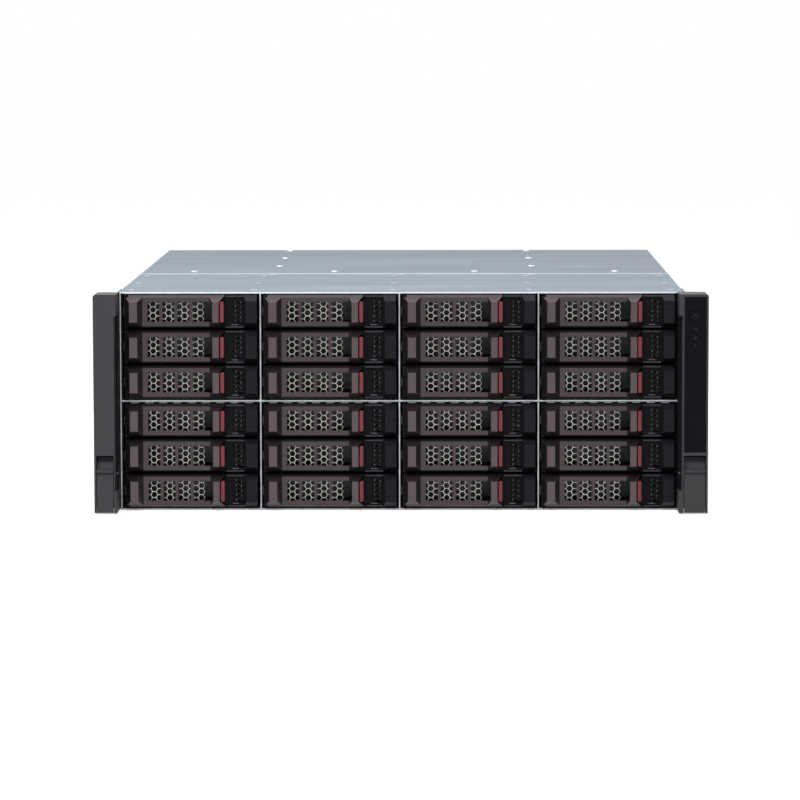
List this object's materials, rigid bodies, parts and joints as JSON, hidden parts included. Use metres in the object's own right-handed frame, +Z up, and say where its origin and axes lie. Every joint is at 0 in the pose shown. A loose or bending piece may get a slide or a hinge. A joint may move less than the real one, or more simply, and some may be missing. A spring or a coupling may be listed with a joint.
{
  "type": "disk shelf enclosure",
  "caption": "Rack-mounted disk shelf: steel chassis with rows of hot-swap drive carriers, latched rack ears, fans, power supplies and interface modules.",
  "frame": {"origin": "under the middle of the whole shelf, in the plane of its underside", "axes": "+X to the right of a person facing the drives, +Y from the front to the back, +Z up"},
  "size_m": [0.4826, 0.615, 0.1747],
  "materials": {
    "galvanised": "galvanised sheet, matt",
    "cage_steel": "galvanised sheet, matt",
    "screw_steel": "bright zinc",
    "carrier_black": "fine satin",
    "handle_bronze": "satin metallic paint",
    "release_red": "satin",
    "ear_plastic": "fine grain",
    "bracket_black": "satin black",
    "panel_black": "satin",
    "board_green": "solder mask",
    "connector_black": "moulded",
    "fan_black": "moulded",
    "module_steel": "zinc-plated sheet",
    "touch_blue": "satin"
  },
  "bodies": {
    "chassis": {"chassis_tub": "galvanised", "front_top_cover": "galvanised", "cage_shelf": "cage_steel", "cage_dividers": "cage_steel", "backplane": "board_green", "drive_connectors": "connector_black", "fan_wall": "cage_steel", "fan_frames": "fan_black", "ear_brackets": "bracket_black", "ear_covers": "ear_plastic", "rear_panel": "galvanised", "control_panel": "panel_black", "rack_screws": "screw_steel", "rear_bay_frame": "cage_steel"},
    "lid": {"rear_lid": "galvanised", "lid_screws": "screw_steel"},
    "carrier_r1c1": {"carrier_r1c1": "carrier_black"},
    "handle_r1c1": {"handle_r1c1": "handle_bronze"},
    "button_r1c1": {"button_r1c1": "release_red"},
    "carrier_r1c2": {"carrier_r1c2": "carrier_black"},
    "handle_r1c2": {"handle_r1c2": "handle_bronze"},
    "button_r1c2": {"button_r1c2": "release_red"},
    "carrier_r1c3": {"carrier_r1c3": "carrier_black"},
    "handle_r1c3": {"handle_r1c3": "handle_bronze"},
    "button_r1c3": {"button_r1c3": "release_red"},
    "carrier_r1c4": {"carrier_r1c4": "carrier_black"},
    "handle_r1c4": {"handle_r1c4": "handle_bronze"},
    "button_r1c4": {"button_r1c4": "release_red"},
    "carrier_r2c1": {"carrier_r2c1": "carrier_black"},
    "carrier_r2c2": {"carrier_r2c2": "carrier_black"},
    "carrier_r2c3": {"carrier_r2c3": "carrier_black"},
    "carrier_r2c4": {"carrier_r2c4": "carrier_black"},
    "carrier_r3c1": {"carrier_r3c1": "carrier_black"},
    "carrier_r3c2": {"carrier_r3c2": "carrier_black"},
    "carrier_r3c3": {"carrier_r3c3": "carrier_black"},
    "carrier_r3c4": {"carrier_r3c4": "carrier_black"},
    "carrier_r4c1": {"carrier_r4c1": "carrier_black"},
    "carrier_r4c2": {"carrier_r4c2": "carrier_black"},
    "carrier_r4c3": {"carrier_r4c3": "carrier_black"},
    "carrier_r4c4": {"carrier_r4c4": "carrier_black"},
    "carrier_r5c1": {"carrier_r5c1": "carrier_black"},
    "carrier_r5c2": {"carrier_r5c2": "carrier_black"},
    "carrier_r5c3": {"carrier_r5c3": "carrier_black"},
    "carrier_r5c4": {"carrier_r5c4": "carrier_black"},
    "carrier_r6c1": {"carrier_r6c1": "carrier_black"},
    "carrier_r6c2": {"carrier_r6c2": "carrier_black"},
    "carrier_r6c3": {"carrier_r6c3": "carrier_black"},
    "carrier_r6c4": {"carrier_r6c4": "carrier_black"},
    "left_latch": {"left_ear_latch": "ear_plastic"},
    "right_latch": {"right_ear_latch": "ear_plastic"},
    "power_button": {"power_button": "panel_black"},
    "rotor_1": {"fan_rotor_1": "fan_black"},
    "rotor_2": {"fan_rotor_2": "fan_black"},
    "rotor_3": {"fan_rotor_3": "fan_black"},
    "power_supply_1": {"power_supply_1": "module_steel"},
    "psu_latch_1": {"psu_latch_1": "touch_blue"},
    "interface_module_1": {"interface_module_1": "module_steel"},
    "power_supply_2": {"power_supply_2": "module_steel"},
    "psu_latch_2": {"psu_latch_2": "touch_blue"},
    "interface_module_2": {"interface_module_2": "module_steel"}
  },
  "joints": [
    {"name": "lid_lift", "type": "slide", "parent": "chassis", "child": "lid", "axis": [0, 0, 1], "range_m": [0, 0.12]},
    {"name": "left_latch_hinge", "type": "hinge", "parent": "chassis", "child": "left_latch", "pos_m": [-0.2333, -0.301, 0.0064], "axis": [1, 0, 0], "range_deg": [0, 80]},
    {"name": "right_latch_hinge", "type": "hinge", "parent": "chassis", "child": "right_latch", "pos_m": [0.2333, -0.301, 0.0064], "axis": [1, 0, 0], "range_deg": [0, 80]},
    {"name": "carrier_r1c1_slide", "type": "slide", "parent": "chassis", "child": "carrier_r1c1", "axis": [0, -1, 0], "range_m": [0, 0.2]},
    {"name": "handle_r1c1_hinge", "type": "hinge", "parent": "carrier_r1c1", "child": "handle_r1c1", "pos_m": [-0.21725, -0.2782, 0.15805], "axis": [0, 0, -1], "range_deg": [0, 65]},
    {"name": "button_r1c1_press", "type": "slide", "parent": "carrier_r1c1", "child": "button_r1c1", "axis": [0, 1, 0], "range_m": [0, 0.002], "stiffness_N_per_m": 600},
    {"name": "carrier_r1c2_slide", "type": "slide", "parent": "chassis", "child": "carrier_r1c2", "axis": [0, -1, 0], "range_m": [0, 0.2]},
    {"name": "handle_r1c2_hinge", "type": "hinge", "parent": "carrier_r1c2", "child": "handle_r1c2", "pos_m": [-0.10725, -0.2782, 0.15805], "axis": [0, 0, -1], "range_deg": [0, 65]},
    {"name": "button_r1c2_press", "type": "slide", "parent": "carrier_r1c2", "child": "button_r1c2", "axis": [0, 1, 0], "range_m": [0, 0.002], "stiffness_N_per_m": 600},
    {"name": "carrier_r1c3_slide", "type": "slide", "parent": "chassis", "child": "carrier_r1c3", "axis": [0, -1, 0], "range_m": [0, 0.2]},
    {"name": "handle_r1c3_hinge", "type": "hinge", "parent": "carrier_r1c3", "child": "handle_r1c3", "pos_m": [0.00275, -0.2782, 0.15805], "axis": [0, 0, -1], "range_deg": [0, 65]},
    {"name": "button_r1c3_press", "type": "slide", "parent": "carrier_r1c3", "child": "button_r1c3", "axis": [0, 1, 0], "range_m": [0, 0.002], "stiffness_N_per_m": 600},
    {"name": "carrier_r1c4_slide", "type": "slide", "parent": "chassis", "child": "carrier_r1c4", "axis": [0, -1, 0], "range_m": [0, 0.2]},
    {"name": "handle_r1c4_hinge", "type": "hinge", "parent": "carrier_r1c4", "child": "handle_r1c4", "pos_m": [0.11275, -0.2782, 0.15805], "axis": [0, 0, -1], "range_deg": [0, 65]},
    {"name": "button_r1c4_press", "type": "slide", "parent": "carrier_r1c4", "child": "button_r1c4", "axis": [0, 1, 0], "range_m": [0, 0.002], "stiffness_N_per_m": 600},
    {"name": "power_button_press", "type": "slide", "parent": "chassis", "child": "power_button", "axis": [0, 1, 0], "range_m": [0, 0.0015], "stiffness_N_per_m": 600},
    {"name": "power_supply_1_slide", "type": "slide", "parent": "chassis", "child": "power_supply_1", "axis": [0, 1, 0], "range_m": [0, 0.2]},
    {"name": "psu_latch_1_hinge", "type": "hinge", "parent": "power_supply_1", "child": "psu_latch_1", "pos_m": [-0.1403, 0.2795, 0.0227], "axis": [0, 0, 1], "range_deg": [0, 8], "stiffness_Nm_per_rad": 0.2},
    {"name": "interface_module_1_slide", "type": "slide", "parent": "chassis", "child": "interface_module_1", "axis": [0, 1, 0], "range_m": [0, 0.195]},
    {"name": "power_supply_2_slide", "type": "slide", "parent": "chassis", "child": "power_supply_2", "axis": [0, 1, 0], "range_m": [0, 0.2]},
    {"name": "psu_latch_2_hinge", "type": "hinge", "parent": "power_supply_2", "child": "psu_latch_2", "pos_m": [-0.1403, 0.2795, 0.0652], "axis": [0, 0, 1], "range_deg": [0, 8], "stiffness_Nm_per_rad": 0.2},
    {"name": "interface_module_2_slide", "type": "slide", "parent": "chassis", "child": "interface_module_2", "axis": [0, 1, 0], "range_m": [0, 0.195]},
    {"name": "rotor_1_spin", "type": "hinge", "parent": "chassis", "child": "rotor_1", "pos_m": [-0.14773, -0.0628, 0.0869], "axis": [0, 1, 0], "continuous": true},
    {"name": "rotor_2_spin", "type": "hinge", "parent": "chassis", "child": "rotor_2", "pos_m": [0, -0.0628, 0.0869], "axis": [0, 1, 0], "continuous": true},
    {"name": "rotor_3_spin", "type": "hinge", "parent": "chassis", "child": "rotor_3", "pos_m": [0.14773, -0.0628, 0.0869], "axis": [0, 1, 0], "continuous": true},
    {"name": "carrier_r2c1_slide", "type": "slide", "parent": "chassis", "child": "carrier_r2c1", "axis": [0, -1, 0], "range_m": [0, 0.2]},
    {"name": "carrier_r2c2_slide", "type": "slide", "parent": "chassis", "child": "carrier_r2c2", "axis": [0, -1, 0], "range_m": [0, 0.2]},
    {"name": "carrier_r2c3_slide", "type": "slide", "parent": "chassis", "child": "carrier_r2c3", "axis": [0, -1, 0], "range_m": [0, 0.2]},
    {"name": "carrier_r2c4_slide", "type": "slide", "parent": "chassis", "child": "carrier_r2c4", "axis": [0, -1, 0], "range_m": [0, 0.2]},
    {"name": "carrier_r3c1_slide", "type": "slide", "parent": "chassis", "child": "carrier_r3c1", "axis": [0, -1, 0], "range_m": [0, 0.2]},
    {"name": "carrier_r3c2_slide", "type": "slide", "parent": "chassis", "child": "carrier_r3c2", "axis": [0, -1, 0], "range_m": [0, 0.2]},
    {"name": "carrier_r3c3_slide", "type": "slide", "parent": "chassis", "child": "carrier_r3c3", "axis": [0, -1, 0], "range_m": [0, 0.2]},
    {"name": "carrier_r3c4_slide", "type": "slide", "parent": "chassis", "child": "carrier_r3c4", "axis": [0, -1, 0], "range_m": [0, 0.2]},
    {"name": "carrier_r4c1_slide", "type": "slide", "parent": "chassis", "child": "carrier_r4c1", "axis": [0, -1, 0], "range_m": [0, 0.2]},
    {"name": "carrier_r4c2_slide", "type": "slide", "parent": "chassis", "child": "carrier_r4c2", "axis": [0, -1, 0], "range_m": [0, 0.2]},
    {"name": "carrier_r4c3_slide", "type": "slide", "parent": "chassis", "child": "carrier_r4c3", "axis": [0, -1, 0], "range_m": [0, 0.2]},
    {"name": "carrier_r4c4_slide", "type": "slide", "parent": "chassis", "child": "carrier_r4c4", "axis": [0, -1, 0], "range_m": [0, 0.2]},
    {"name": "carrier_r5c1_slide", "type": "slide", "parent": "chassis", "child": "carrier_r5c1", "axis": [0, -1, 0], "range_m": [0, 0.2]},
    {"name": "carrier_r5c2_slide", "type": "slide", "parent": "chassis", "child": "carrier_r5c2", "axis": [0, -1, 0], "range_m": [0, 0.2]},
    {"name": "carrier_r5c3_slide", "type": "slide", "parent": "chassis", "child": "carrier_r5c3", "axis": [0, -1, 0], "range_m": [0, 0.2]},
    {"name": "carrier_r5c4_slide", "type": "slide", "parent": "chassis", "child": "carrier_r5c4", "axis": [0, -1, 0], "range_m": [0, 0.2]},
    {"name": "carrier_r6c1_slide", "type": "slide", "parent": "chassis", "child": "carrier_r6c1", "axis": [0, -1, 0], "range_m": [0, 0.2]},
    {"name": "carrier_r6c2_slide", "type": "slide", "parent": "chassis", "child": "carrier_r6c2", "axis": [0, -1, 0], "range_m": [0, 0.2]},
    {"name": "carrier_r6c3_slide", "type": "slide", "parent": "chassis", "child": "carrier_r6c3", "axis": [0, -1, 0], "range_m": [0, 0.2]},
    {"name": "carrier_r6c4_slide", "type": "slide", "parent": "chassis", "child": "carrier_r6c4", "axis": [0, -1, 0], "range_m": [0, 0.2]}
  ]
}
